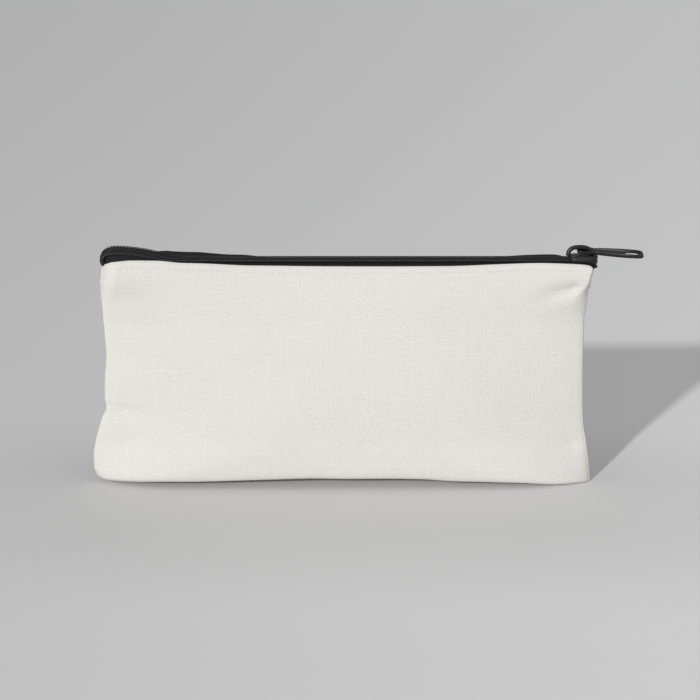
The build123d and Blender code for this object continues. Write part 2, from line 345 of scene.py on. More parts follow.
@dataclass(frozen=True)
class CanvasFinish:
    """Natural cotton canvas in plain weave, with slubs and specks of seed, and painted shade
    between its threads.
    """

    colour: tuple[float, float, float] = (0.725, 0.704, 0.668)
    # the colour of the painted shade between the threads and where the nap is low
    shade: tuple[float, float, float] = (0.575, 0.55, 0.51)
    speck: tuple[float, float, float] = (0.30, 0.24, 0.17)
    pitch: float = 0.62  # between threads
    relief: float = 0.2  # of a thread, in millimetres
    roughness: float = 0.92

    def build(self) -> bpy.types.Material:
        """The material."""
        g = Graph("canvas")
        u, v, uv = g.cloth_place()
        wander = (g.noise(uv, 9.0) - 0.5) * 0.5
        warp = ((u + wander) * (math.pi / self.pitch)).sine()
        weft = ((v + wander) * (math.pi / self.pitch)).sine()
        crossing = warp * weft
        dome = abs(crossing) ** 0.6
        slub_warp = g.noise(g.stretched(uv, 95.0, 3.2), 1.0, 3.0)
        slub_weft = g.noise(g.stretched(uv, 3.2, 95.0), 1.0, 3.0)
        slubs = slub_warp.over(0.56, 0.2) + slub_weft.over(0.56, 0.2)
        cloudy = g.noise(uv, 3.0, 3.0)
        nap = g.noise(g.stretched(uv, 110.0, 150.0), 1.0, 2.0)
        height = dome * 0.6 + crossing * 0.1 + slubs * 0.35 + nap * 0.6
        # Painted shade: darker in the low places between threads and where the nap is low, and
        # lighter on the slubs, which stand higher; the cloudy part is random tone.
        weave_shade_and_tone = (1 - dome) * 0.3 + (cloudy - 0.5) * 0.3 + (0.52 - nap) * 1.7
        specks = g.noise(g.stretched(uv, 1.0, 1.6), 62.0, 1.0).over(0.745, 0.03)
        strays = g.noise(g.stretched(uv, 22.0, 60.0), 1.0, 1.0).over(0.77, 0.03)
        base = g.blend(weave_shade_and_tone - slubs * 0.3, (*self.colour, 1), (*self.shade, 1))
        base = g.blend(specks * 0.32 + strays * 0.22, base, (*self.speck, 1))
        g.bump(height, self.relief * MM, 0.8)
        rough = self.roughness - slubs * 0.06
        return g.finish(
            Base_Color=base,
            Roughness=rough,
            Sheen_Weight=0.12,
            Sheen_Roughness=0.6,
            Specular_IOR_Level=0.25,
        )


@dataclass(frozen=True)
class ThreadFinish:
    """Twisted sewing thread, with painted shade in the grooves between its plies."""

    name: str
    colour: tuple[float, float, float]
    # the colour of the painted shade in the grooves between plies
    painted_shade_tone: tuple[float, float, float]
    roughness: float = 0.75

    def build(self) -> bpy.types.Material:
        """The material."""
        g = Graph(self.name)
        place = g.object_place()
        ply = g.noise(g.stretched(place, 2600.0, 900.0, 2600.0), 1.0, 1.0)
        fuzz = g.noise(place, 5200.0, 2.0)
        g.bump(ply * 0.7 + fuzz * 0.3, 0.08 * MM)
        # Painted shade: darker where the ply relief is low, in the grooves between plies.
        base = g.blend(ply.over(0.35, 0.3), (*self.painted_shade_tone, 1), (*self.colour, 1))
        return g.finish(Base_Color=base, Roughness=self.roughness - fuzz * 0.15)


@dataclass(frozen=True)
class TapeFinish:
    """Black woven polyester tape, ribbed across its length, with painted light on the ribs' tops
    and painted shade between them.
    """

    colour: tuple[float, float, float] = (0.0055, 0.0055, 0.0055)
    # the colour of the ribs' tops, with painted light on them
    painted_rib_light: tuple[float, float, float] = (0.014, 0.014, 0.0135)
    rib: float = 0.85  # between ribs
    line: float = 0.55  # between the warp lines
    relief: float = 0.12

    def build(self) -> bpy.types.Material:
        """The material."""
        g = Graph("zip_tape")
        u, v, uv = g.cloth_place()
        rib = (u * (2 * math.pi / self.rib) + (g.noise(uv, 40.0) - 0.5) * 1.2).sine()
        line = (v * (2 * math.pi / self.line)).sine()
        height = (rib * 0.5 + 0.5) * 0.6 + (rib * line * 0.5 + 0.5) * 0.4
        fibre = g.noise(g.stretched(uv, 160.0, 420.0), 1.0, 2.0)
        g.bump(height + fibre * 0.3, self.relief * MM)
        # Painted light and shade: lighter on the ribs' tops and darker between them, following the
        # relief; the fibre part is random tone.
        base = g.blend(height * 0.7 + fibre * 0.3, (*self.colour, 1), (*self.painted_rib_light, 1))
        return g.finish(
            Base_Color=base, Roughness=0.66 + fibre * 0.3, Specular_IOR_Level=0.3
        )


@dataclass(frozen=True)
class NylonFinish:
    """The coil's black nylon, moulded smooth and rubbed on its crowns."""

    colour: tuple[float, float, float] = (0.008, 0.008, 0.008)
    rubbed: tuple[float, float, float] = (0.035, 0.035, 0.036)

    def build(self) -> bpy.types.Material:
        """The material."""
        g = Graph("coil_nylon")
        place = g.object_place()
        scuff = g.noise(g.stretched(place, 900.0, 3000.0, 900.0), 1.0, 3.0)
        patch = g.noise(place, 260.0, 2.0)
        g.bump(scuff, 0.03 * MM)
        base = g.blend(scuff.over(0.5, 0.25) * patch, (*self.colour, 1), (*self.rubbed, 1))
        return g.finish(Base_Color=base, Roughness=0.42 + scuff * 0.25, Specular_IOR_Level=0.3)


@dataclass(frozen=True)
class EnamelFinish:
    """Black enamel on zinc, rubbed through to grey metal along its edges and over patches of its
    faces: partly real rubbing, partly a painted highlight.
    """

    WEAR_AND_HIGHLIGHT = "wear_and_highlight"
    enamel: tuple[float, float, float] = (0.007, 0.007, 0.008)
    metal: tuple[float, float, float] = (0.22, 0.22, 0.225)

    def build(self) -> bpy.types.Material:
        """The material."""
        g = Graph("slider_enamel")
        place = g.object_place()
        wear_and_highlight = Socket(g, g.node("Attribute", {"attribute_name": self.WEAR_AND_HIGHLIGHT}).outputs["Fac"])
        grain = g.noise(place, 1500.0, 3.0)
        cloud = g.noise(place, 300.0, 3.0)
        scratch = g.noise(g.stretched(place, 300.0, 6000.0, 6000.0), 1.0, 2.0)
        # Grey metal shows along the edges and over the faces: partly real rubbing, partly a painted
        # highlight.
        bare_metal_and_highlight = (wear_and_highlight * 0.75 + cloud * 0.35 + grain * 0.2).over(0.74, 0.3)
        bare_metal_and_highlight = bare_metal_and_highlight + scratch.over(0.7, 0.05) * 0.35
        base = g.blend(bare_metal_and_highlight, (*self.enamel, 1), (*self.metal, 1))
        g.bump(grain * 0.5 + scratch * 0.3 - bare_metal_and_highlight * 0.2, 0.03 * MM)
        return g.finish(
            Base_Color=base,
            Metallic=bare_metal_and_highlight * 0.9,
            Roughness=0.3 + grain * 0.2 + cloud * 0.12,
            Specular_IOR_Level=0.3,
            Coat_Weight=0.1,
            Coat_Roughness=0.2,
        )


@dataclass(frozen=True)
class SweepFinish:
    """The pale paper that the case stands on, with painted light falloff: darker far off and to the
    left, lighter near and towards the viewer's right; and painted shade round the case.
    """

    # the paper's brightness at the far and the near end of the painted light falloff
    far: float = 0.57
    near: float = 0.90
    painted_shade_share: float = 0.42  # how much painted shade darkens the paper round and under the case
    tint: tuple[float, float, float] = (1.0, 1.0, 1.005)

    def build(self) -> bpy.types.Material:
        """The material."""
        g = Graph("sweep_paper")
        place = g.object_place()
        apart = g.node("SeparateXYZ", inputs={0: place})
        x, y = Socket(g, apart.outputs[0]), Socket(g, apart.outputs[1])
        depth = g.maths("MAXIMUM", y + 0.95, 0.35)
        down = g.ramp(g.maths("DIVIDE", 0.6, depth), -0.1, 1.05)
        across = g.ramp(x / depth, -0.36, 0.36)
        # Painted light falloff: the paper is darker far off and to the left and lighter near and to
        # the right.
        light = down * 0.48 + across * 0.52
        painted_shade_tone, pale = (tuple(c * k for c in self.tint) for k in (self.far, self.near))
        # Painted shade round and under the case: the paper is darker there.
        near = g.ramp(abs(x), 0.26, 0.06) * g.ramp(abs(y + 0.03), 0.13, 0.02)
        painted_shade_colour = tuple(c * 0.5 for c in self.tint)
        base = g.blend(near * self.painted_shade_share, g.blend(light, (*painted_shade_tone, 1), (*pale, 1)), (*painted_shade_colour, 1))
        fibre = g.noise(place, 1400.0, 3.0)
        g.bump(fibre, 0.02 * MM)
        return g.finish(Base_Color=base, Roughness=0.85 + fibre * 0.1)


class Slot(Enum):
    """The material slots, by which the finishes are handed out."""

    CANVAS = "canvas"
    THREAD = "thread"
    TAPE = "tape"
    COIL = "coil"
    ZIP_THREAD = "zip_thread"
    METAL = "slider_metal"


class Wardrobe:
    """Every finish, made once and handed out by slot."""

    def __init__(self) -> None:
        """Builds the materials."""
        cotton = ThreadFinish("cotton_thread", (0.71, 0.69, 0.65), (0.60, 0.575, 0.53))
        polyester = ThreadFinish("zip_thread", (0.013, 0.013, 0.014), (0.005, 0.005, 0.006), 0.6)
        self.by_slot = {
            Slot.CANVAS: CanvasFinish().build(),
            Slot.THREAD: cotton.build(),
            Slot.TAPE: TapeFinish().build(),
            Slot.COIL: NylonFinish().build(),
            Slot.ZIP_THREAD: polyester.build(),
            Slot.METAL: EnamelFinish().build(),
        }


# --------------------------------------------------------------------------- the case's form


@dataclass(frozen=True)
class Crease:
    """A soft fold in the cloth: a valley along a short route, which dies away towards its end."""

    route: tuple[tuple[float, float], ...]  # (x, z)
    width: float
    depth: float
    spread: float = 1.0  # how much wider it is at its end
    fade: float = 1.0  # the share of the route over which it dies away

    def at(self, x: float, z: float) -> float:
        """How far the cloth is drawn in at a place.

        Args:
            x: the place along the case.
            z: its height.

        Returns:
            The depth of the fold there.
        """
        reach = 3 * self.width * max(self.spread, 1.0)
        first, last = self.route[0][0], self.route[-1][0]
        if first < last and not first - reach < x < last + reach:
            return 0.0
        if first > last and not last - reach < x < first + reach:
            return 0.0
        here = Vector((x, z))
        best, along, walked = 1e9, 0.0, 0.0
        total = sum((Vector(b) - Vector(a)).length for a, b in zip(self.route, self.route[1:]))
        for a, b in zip(self.route, self.route[1:]):
            start, run = Vector(a), Vector(b) - Vector(a)
            t = min(max((here - start).dot(run) / run.length_squared, 0.0), 1.0)
            gap = (here - start - run * t).length
            if gap < best:
                best, along = gap, (walked + run.length * t) / total
            walked += run.length
        width = self.width * mix(1.0, self.spread, along)
        if best > 3 * width:
            return 0.0
        left = 1 - smooth((along - (1 - self.fade)) / self.fade)
        return self.depth * left * math.exp(-((best / width) ** 2))


@dataclass(frozen=True)
class CaseForm:
    """The shape of the filled-out canvas, which every piece on it follows."""

    left_seam: Line = Line(
        (
            (0, -105.9), (2, -109.9), (6, -111.5), (11.5, -111.6), (16, -111.0), (21, -109.8),
            (25.5, -108.5), (30, -107.0), (34.3, -105.1), (38, -105.6), (44, -105.5),
            (60, -104.3), (68, -104.7), (89, -105.7), (98, -104.8),
        )
    )
    right_seam: Line = Line(
        (
            (0, 110.9), (5, 110.5), (11.5, 109.7), (20, 108.3), (27, 107.0), (40, 106.2),
            (60, 105.7), (74, 105.6), (82, 106.6), (90, 107.2), (94, 107.5), (98, 108.5),
        )
    )
    front_fold: Line = Line(
        (
            (-104.8, 98.8), (-99, 100.8), (-90, 101.6), (-80, 101.5), (-70, 100.6), (-60, 100.3),
            (-40, 99.4), (0, 99.05), (45, 99.2), (70, 100.1), (84, 100.5), (98, 100.1),
            (105, 99.6), (107.2, 98.8), (108.6, 97.3),
        )
    )
    back_fold: Line = Line(
        (
            (-104.8, 99.0), (-96, 100.6), (-75, 100.6), (-40, 99.8), (20, 99.2), (80, 99.8),
            (100, 99.5), (105, 99.2), (107.2, 98.4), (108.6, 97.2),
        )
    )
    foot: Line = Line(
        (
            (-108, 0.25), (-100, 0.8), (-92, 1.3), (-75, 2.3), (-59, 2.6), (-44, 3.1), (-28, 3.6),
            (-13, 4.0), (3, 3.8), (20, 3.9), (34, 3.7), (49, 2.7), (65, 2.3), (80, 1.7),
            (96, 0.3), (108, 0.2),
        )
    )
    depth: Line = Line(
        (
            (0, 9.2), (0.5, 10.9), (1.5, 12.0), (3.5, 12.6), (7, 12.9), (12, 12.9), (18, 12.75),
            (35, 12.4), (60, 11.0), (82, 8.9), (94, 7.6), (100, 7.1),
        )
    )
    lip: float = 0.95  # half the thickness of the side seams
    lip_run: float = 0.9
    belly_run: float = 92.0
    belly_curve: float = 0.8
    foot_run: float = 40.0
    mouth_run: float = 7.0
    height: float = 100.0
    topstitch_drop: float = 2.9
    front_creases: tuple[Crease, ...] = (
        Crease(((109, 92.5), (104, 89.3), (94, 87.5), (86, 85.2), (77, 82.5)), 1.9, 3.1, 2.2),
        Crease(((-105, 82.5), (-90, 85.2), (-78, 85.0), (-64, 83.5)), 4.0, 0.8, 1.6),
        Crease(((-105.5, 36.5), (-101, 34.6)), 1.1, 1.5, 1.6),
        Crease(((-104, 35.0), (-98, 33.4), (-84, 29.2), (-66, 24.0)), 2.6, 1.0, 2.6),
        Crease(((-98, 17), (-91, 16.6), (-84, 17.2)), 5.0, 0.6, 1.2),
        Crease(((109, 16.0), (101, 17.8), (95, 17.6), (86, 15.0)), 2.4, 1.0, 2.0),
        Crease(((-104, 60), (-90, 58), (-70, 60)), 6.0, 0.3, 1.5),
        Crease(((107, 50), (96, 47), (80, 44)), 6.0, 0.3, 1.5),
        Crease(((-30, 96), (0, 95), (40, 96)), 3.0, 0.2, 1.0),
    )
    back_creases: tuple[Crease, ...] = (
        Crease(((-106, 78), (-94, 75), (-78, 74)), 3.4, 1.6, 2.0),
        Crease(((109, 80), (96, 82), (78, 81)), 4.5, 1.0, 1.6),
        Crease(((109, 30), (98, 27), (80, 22)), 3.0, 1.5, 2.4),
        Crease(((-107, 24), (-96, 20), (-80, 18)), 2.6, 1.4, 2.2),
        Crease(((-20, 60), (20, 52), (50, 50)), 9.0, 0.5, 1.2),
        Crease(((40, 30), (70, 36), (96, 52)), 7.0, 0.45, 1.2),
    )

    def fold(self, x: float, side: int) -> float:
        """The height of the canvas's top fold, front (-1) or back (1)."""
        return (self.front_fold if side < 0 else self.back_fold)(x)

    def from_seam(self, x: float, z: float) -> float:
        """How far a place is from the nearer side seam."""
        return min(x - self.left_seam(z), self.right_seam(z) - x)

    @staticmethod
    def fullness(gap: float, lip_run: float, run: float, curve: float) -> float:
        """How full the case is, from 0 at the lip to 1 further in than run."""
        share = min(max((gap - lip_run) / run, 0.0), 1.0)
        return math.sin(math.pi / 2 * share) ** curve

    def creased(self, x: float, z: float, side: int) -> float:
        """How far the folds draw the cloth in at a place."""
        creases = self.front_creases if side < 0 else self.back_creases
        total = sum(crease.at(x, z) for crease in creases)
        broad = noise.noise(Vector((x * 0.021, side * 4.0, z * 0.034)))
        fine = noise.noise(Vector((x * 0.075, side * 9.0, z * 0.09)))
        return total + 0.5 * broad + 0.12 * fine

    def half_depth(self, x: float, z: float, side: int) -> float:
        """Half the case's depth.

        Args:
            x: the place along the case.
            z: its height above the foot line.
            side: the front (-1) or the back (1).

        Returns:
            The distance from the middle plane to the cloth's outer face.
        """
        gap = max(self.from_seam(x, z), 0.0)
        up = smooth((z - 70) / 30)
        opened = smooth((x - 70) / 25) * smooth((z - 84.5) / 7.5)
        lip_run = mix(self.lip_run, 0.0, opened)
        mouth = self.fullness(gap, lip_run, mix(self.mouth_run, 1.1, opened), 0.6)
        low = 1 - smooth(z / 22)
        run = mix(self.belly_run, self.foot_run, low)
        belly = self.fullness(gap, lip_run, run, mix(self.belly_curve, 0.6, low))
        full = mix(belly, mouth, up)
        edge = self.lip * math.sqrt(1 - (1 - min(gap / 1.1, 1.0)) ** 2)
        dip = 0.12 * math.exp(-(((gap - lip_run) / 0.5) ** 2)) * (1 - opened)
        fade = smooth((gap - 1.5) / 7.0)
        wall = edge - dip + (self.depth(z) - self.lip) * full
        return max(wall - self.creased(x, z, side) * fade * smooth(z / 8.0), 0.05)


@dataclass
class Mouth:
    """How the front half opens: a lens between the slider's two stops."""

    start: float
    end: float
    ease: float = 14.0
    sewn: float = 3.0  # height below which the front stays with the base
    rise: float = 18.0

    def share(self, x: float, z: float) -> float:
        """The share of the front half's swing that a point takes."""
        u = (x - self.start) / (self.end - self.start)
        if not 0 < u < 1:
            return 0.0
        span = self.end - self.start
        ease = smooth(u * span / self.ease) * smooth((1 - u) * span / self.ease)
        return 4 * u * (1 - u) * ease * smooth((z - self.sewn) / self.rise)

    def hang(self, piece: bpy.types.Object) -> None:
        """Bakes a piece of the front half into the frame and works out each point's share of the
        mouth's swing, which is not kept.

        Args:
            piece: a finished mesh in the frame.
        """
        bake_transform(piece)
        weights = [self.share(v.co.x / MM, v.co.z / MM) for v in piece.data.vertices]


# --------------------------------------------------------------------------- mesh helpers


class Mesh:
    """A bmesh in the making, in metres, with the cloth's UV map if it has one."""

    TURN = 1.3  # the length of a coil's turn, in millimetres

    def __init__(self) -> None:
        """Starts empty."""
        self.bm = bmesh.new()

    def sheet(
        self,
        across: int,
        along: int,
        place: Callable[[float, float], tuple[Vector, float, float]],
    ) -> "Mesh":
        """Adds a grid shaped by a function, with its flat size as its UV map.

        Args:
            across: how many faces it has one way.
            along: how many the other way.
            place: where a point of the unit square goes, in millimetres, and the same point on
                the flat cloth.

        Returns:
            This mesh.
        """
        layer = self.bm.loops.layers.uv.get(Cloth.LAYER) or self.bm.loops.layers.uv.new(Cloth.LAYER)
        made = bmesh.ops.create_grid(self.bm, x_segments=across, y_segments=along, size=0.5)
        put = {v: place(v.co.x + 0.5, v.co.y + 0.5) for v in made["verts"]}
        for vert, (at, u, v) in put.items():
            vert.co = at * MM
            for loop in vert.link_loops:
                loop[layer].uv = (u / Cloth.PER_UNIT, v / Cloth.PER_UNIT)
                loop.face.smooth = True
        return self

    def coil(
        self,
        turns: int,
        width: float,
        height: float,
        wire: float,
        place: Callable[[Vector], Vector],
        steps: int = 10,
        sides: int = 6,
    ) -> "Mesh":
        """Adds a flattened coil of wire, bent by a function.

        Args:
            turns: how many turns it has.
            width: across a turn, outside.
            height: over a turn, outside.
            wire: the wire's thickness.
            place: where a point of the straight coil goes; its x counts turns.
            steps: faces round one turn.
            sides: faces round the wire.

        Returns:
            This mesh.
        """
        ring = bmesh.ops.create_circle(self.bm, segments=sides, radius=wire / 2)["verts"]
        upright = Matrix.Rotation(math.pi / 2, 4, "X")
        thin = Matrix.Diagonal((1 / self.TURN, 1, 1, 1))
        up = Matrix.Translation((0, 0, (height - wire) / 2)) @ thin @ upright
        bmesh.ops.transform(self.bm, matrix=up, verts=ring)
        rim = list({e for v in ring for e in v.link_edges})
        bmesh.ops.spin(
            self.bm,
            geom=ring + rim,
            cent=(0, 0, 0),
            axis=(1, 0, 0),
            dvec=(1.0 / steps, 0, 0),
            angle=2 * math.pi * turns,
            steps=steps * turns,
            use_merge=False,
        )
        middle = (height - wire) / 2
        stretch = (width - wire) / (height - wire)
        for vert in self.bm.verts:
            co = vert.co
            radius = math.hypot(co.y, co.z)
            y, z = (math.copysign(abs(c / radius) ** 0.75, c) for c in (co.y, co.z))
            out = radius - middle
            bent = Vector((co.x, y * (middle * stretch + out), z * (middle + out)))
            vert.co = place(bent) * MM
        return self.closed()

    def tube(
        self, steps: int, radius: float, place: Callable[[Vector], Vector], sides: int = 6
    ) -> "Mesh":
        """Adds a straight tube of unit length, bent by a function.

        Args:
            steps: faces along it.
            radius: its radius.
            place: where a point of the straight tube goes; its x runs from 0 to 1.
            sides: faces round it.

        Returns:
            This mesh.
        """
        ring = bmesh.ops.create_circle(self.bm, segments=sides, radius=radius)["verts"]
        bmesh.ops.transform(self.bm, matrix=Matrix.Rotation(math.pi / 2, 4, "Y"), verts=ring)
        front = ring + list({e for v in ring for e in v.link_edges})
        for _ in range(steps):
            rim = [g for g in front if isinstance(g, bmesh.types.BMEdge)]
            made = bmesh.ops.extrude_edge_only(self.bm, edges=rim)
            front = made["geom"]
            moved = [g for g in front if isinstance(g, bmesh.types.BMVert)]
            bmesh.ops.translate(self.bm, verts=moved, vec=(1.0 / steps, 0, 0))
        for vert in self.bm.verts:
            vert.co = place(vert.co) * MM
        return self.closed()

    def closed(self) -> "Mesh":
        """Closes the open ends and turns every face outwards."""
        open_edges = [e for e in self.bm.edges if e.is_boundary]
        bmesh.ops.holes_fill(self.bm, edges=open_edges, sides=0)
        bmesh.ops.recalc_face_normals(self.bm, faces=self.bm.faces)
        for face in self.bm.faces:
            face.smooth = True
        return self

    def ring_of(
        self,
        around: int,
        across: int,
        place: Callable[[float, float], Vector],
    ) -> "Mesh":
        """Adds a closed ring, whose section is closed too, shaped by a function of two shares."""
        made = bmesh.ops.create_grid(self.bm, x_segments=around, y_segments=across, size=0.5)
        for vert in made["verts"]:
            vert.co = place(vert.co.x + 0.5, vert.co.y + 0.5) * MM
        bmesh.ops.remove_doubles(self.bm, verts=made["verts"], dist=0.000002)
        return self.closed()

    def stitch(self, a: Vector, b: Vector, thick: float, out: Vector) -> "Mesh":
        """Adds one stitch, a bead of thread from a to b that stands a little out."""
        made = bmesh.ops.create_icosphere(self.bm, subdivisions=2, radius=0.5)
        run = b - a
        side = run.cross(out).normalized()
        turn = Matrix((run.normalized(), side, out.normalized())).transposed().to_4x4()
        size = Matrix.Diagonal((run.length * MM, thick * MM, thick * 0.8 * MM, 1))
        move = Matrix.Translation((a + b) / 2 * MM) @ turn @ size
        for face in {f for v in made["verts"] for f in v.link_faces}:
            face.smooth = True
        bmesh.ops.transform(self.bm, matrix=move, verts=made["verts"])
        return self

    def box(self, size: Vector, centre: Vector) -> list:
        """Adds a box and returns its corners."""
        made = bmesh.ops.create_cube(self.bm, size=1.0)
        move = Matrix.Translation(centre) @ Matrix.Diagonal((*size, 1))
        bmesh.ops.transform(self.bm, matrix=move, verts=made["verts"])
        return made["verts"]

    def piece(self, name: str, material: bpy.types.Material, slot: Slot) -> bpy.types.Object:
        """Writes the mesh out as an object of the scene."""
        mesh = bpy.data.meshes.new(name)
        self.bm.to_mesh(mesh)
        self.bm.free()
        piece = bpy.data.objects.new(name, mesh)
        bpy.context.scene.collection.objects.link(piece)
        mesh.materials.append(material)
        return piece


def solid(piece: bpy.types.Object, thickness: float) -> None:
    """Gives a sheet its thickness, inwards from its outer face."""
    modifier = piece.modifiers.new("thickness", "SOLIDIFY")
    modifier.thickness = thickness * MM
    modifier.offset = -1
    modifier.use_even_offset = False


# --------------------------------------------------------------------------- canvas


@dataclass
class Canvas:
    """The two canvas panels, the seams between them and their threads."""

    form: CaseForm
    wardrobe: Wardrobe
    mouth: Mouth
    cloth: float = 0.75
    turn: float = 0.82  # radius of the top fold
    hem: float = 8.5
    columns: int = 240
    wall_rows: int = 104
    fold_rows: int = 6
    hem_rows: int = 8
    base_rows: int = 16
    allowance: float = 7.0
    allowance_low: float = 6.0
    allowance_high: float = 92.0
    bottom_run: float = 92.0
    seam_pitch: float = 3.0
    loop_pitch: float = 2.2

    def column(self, a: float, z: float) -> float:
        """The place along the case of a column of the grid at a height."""
        left, right = self.form.left_seam(z), self.form.right_seam(z)
        even = 0.5 - 0.5 * math.cos(math.pi * a)
        return mix(left, right, mix(a, even, 0.45))

    def section(self, a: float, b: float, side: int) -> tuple[Vector, float]:
        """A point of a wall with its fold and its hem.

        Args:
            a: the column, from 0 at the left seam to 1 at the right.
            b: the way up the outer face (0 to 1), over the fold (1 to 2) and down inside (2 to 3).
            side: the front (-1) or the back (1).

        Returns:
            The point, and its distance along the flat cloth.
        """
        form = self.form
        x_top = self.column(a, form.height)
        top = form.fold(x_top, side)
        if b <= 1:
            rise = mix(b**1.7, b, 0.35)
            share = rise * (top - self.turn) / form.height
            z = form.height * share
            x = self.column(a, z)
            low = form.foot(x) * (1 - smooth(z / 40.0))
            return Vector((x, side * form.half_depth(x, z, side), z + low)), z + 5.0
        rim = form.half_depth(x_top, top - self.turn, side)
        turn = min(self.turn, rim * 0.5)
        if b <= 2:
            angle = math.pi * (b - 1)
            y = rim - turn + turn * math.cos(angle)
            return Vector((x_top, side * y, top - turn + turn * math.sin(angle))), top + 5 + 2 * (
                b - 1
            )
        down = self.hem * (b - 2)
        z = top - turn - down
        x = self.column(a, z)
        y = form.half_depth(x, z, side) - 2 * turn
        return Vector((x, side * max(y, 0.02), z)), top + 7 + down

    def rows(self, with_base: bool) -> list[float]:
        """The rows of a panel's grid, numbered as section and base number them."""
        base = [-1 + k / self.base_rows for k in range(self.base_rows)] if with_base else []
        wall = [k / self.wall_rows for k in range(self.wall_rows)]
        fold = [1 + k / self.fold_rows for k in range(self.fold_rows)]
        hem = [2 + k / self.hem_rows for k in range(self.hem_rows + 1)]
        return base + wall + fold + hem

    def base_point(self, a: float, b: float) -> tuple[Vector, float]:
        """A point of the base, from the bottom seam (b = -1) to the foot of the back (b = 0)."""
        x = self.column(a, 0.0)
        half = self.form.half_depth(x, 0.0, 1)
        y = mix(-half, half, b + 1)
        sag = 0.25 * math.sin(math.pi * (b + 1))
        return Vector((x, y, self.form.foot(x) - min(sag, self.form.foot(x) * 0.5))), y - 6.0

    def panel(self, name: str, side: int) -> bpy.types.Object:
        """One panel with its hem, and the base if it is the back one."""
        rows = self.rows(side > 0)

        def point(a: float, b: float) -> tuple[Vector, float, float]:
            row = rows[round(b * (len(rows) - 1))]
            at, along = self.base_point(a, row) if row < 0 else self.section(a, row, side)
            return at, at.x, along

        mesh = Mesh().sheet(self.columns, len(rows) - 1, point)
        if side > 0:
            bmesh.ops.reverse_faces(mesh.bm, faces=mesh.bm.faces)
            for end in (-1, 1):
                mesh.sheet(5, 60, lambda a, b, end=end: self.side_allowance(a, b, end))
        else:
            mesh.sheet(160, 5, self.bottom_allowance)
        piece = mesh.piece(name, self.wardrobe.by_slot[Slot.CANVAS], Slot.CANVAS)
        solid(piece, self.cloth)
        return piece

    def side_allowance(self, a: float, b: float, end: int) -> tuple[Vector, float, float]:
        """A point of a side seam's allowance, which lies inside the case.

        Args:
            a: the share of the way in from the seam.
            b: the share of the way up.
            end: the left (-1) or the right (1) seam.

        Returns:
            The point, and its place on the flat cloth.
        """
        z = mix(self.allowance_low, self.allowance_high, b)
        inward = mix(1.2, self.allowance, a)
        seam = self.form.left_seam(z) if end < 0 else self.form.right_seam(z)
        wave = 0.35 * math.sin(z * 0.21 + end) * a
        return Vector((seam - end * inward, 0.4 + wave, z)), inward, z

    def bottom_allowance(self, a: float, b: float) -> tuple[Vector, float, float]:
        """A point of the bottom seam's allowance, which lies on the base inside the case."""
        x = mix(-1, 1, a) * self.bottom_run
        half = self.form.half_depth(x, 0.0, -1)
        inward = mix(1.0, self.allowance, b)
        lift = self.form.foot(x) + 2.1 + 0.25 * math.sin(x * 0.16) * b
        return Vector((x, -half + inward, lift)), x, inward

    def seam_threads(self, name: str, end: int) -> tuple[bpy.types.Object, bpy.types.Object]:
        """The lockstitch and the overlock of a side seam.

        Args:
            name: what the pieces' names start with.
            end: the left (-1) or the right (1) seam.

        Returns:
            The two pieces.
        """
        row, edge = Mesh(), Mesh()
        span = self.allowance_high - self.allowance_low
        out = Vector((0, 1, 0))
        for k in range(int(span / self.seam_pitch)):
            ends = [(k * self.seam_pitch + d) / span for d in (0.3, 2.6)]
            a, b = (self.side_allowance(0.08, share, end)[0] + out * 0.1 for share in ends)
            row.stitch(a, b, 0.4, out)
        for k in range(int(span / self.loop_pitch) - 1):
            low, high = (
                self.side_allowance(1.0, (k + d) * self.loop_pitch / span, end)[0] for d in (0, 1)
            )
            back = Vector((end * 2.2, 0, 0))
            for face in (-1, 1):
                lift = out * (0.15 if face > 0 else -0.95)
                edge.stitch(low + lift, high + back + lift, 0.34, out * face)
            edge.stitch(low + out * 0.2, low - out * 1.0, 0.36, Vector((-end, 0, 0)))
        return self.thread_piece(row, f"{name}_seam_lockstitch"), self.thread_piece(
            edge, f"{name}_seam_edging"
        )

    def bottom_threads(self) -> tuple[bpy.types.Object, bpy.types.Object]:
        """The lockstitch and the overlock of the bottom seam."""
        row, edge = Mesh(), Mesh()
        out = Vector((0, 0, 1))
        span = 2 * self.bottom_run
        for k in range(int(span / self.seam_pitch)):
            ends = [(k * self.seam_pitch + d) / span for d in (0.3, 2.6)]
            a, b = (self.bottom_allowance(share, 0.08)[0] + out * 0.1 for share in ends)
            row.stitch(a, b, 0.4, out)
        for k in range(int(span / self.loop_pitch) - 1):
            low, high = (
                self.bottom_allowance((k + d) * self.loop_pitch / span, 1.0)[0] for d in (0, 1)
            )
            back = Vector((0, -2.2, 0))
            edge.stitch(low + out * 0.15, high + back + out * 0.15, 0.34, out)
            edge.stitch(low + out * 0.2, low - out * 1.0, 0.36, Vector((0, 1, 0)))
        return self.thread_piece(row, "bottom_seam_lockstitch"), self.thread_piece(
            edge, "bottom_seam_edging"
        )

    def thread_piece(self, mesh: "Mesh", name: str) -> bpy.types.Object:
        """Writes stitches out as a piece of sewing thread."""
        return mesh.piece(name, self.wardrobe.by_slot[Slot.THREAD], Slot.THREAD)

    def topstitch(self, name: str, side: int) -> bpy.types.Object:
        """The row of stitches under a top fold."""
        form, mesh = self.form, Mesh()
        pitch, length, thick = 2.6, 2.2, 0.36
        x = form.left_seam(97) + 3.0
        while x < form.right_seam(97) - 3.0 - length:
            ends = []
            for at in (x, x + length):
                z = form.fold(at, side) - form.topstitch_drop
                ends.append(Vector((at, side * (form.half_depth(at, z, side) + 0.02), z)))
            mesh.stitch(*ends, thick, Vector((0, side, 0)))
            x += pitch
        return self.thread_piece(mesh, name)

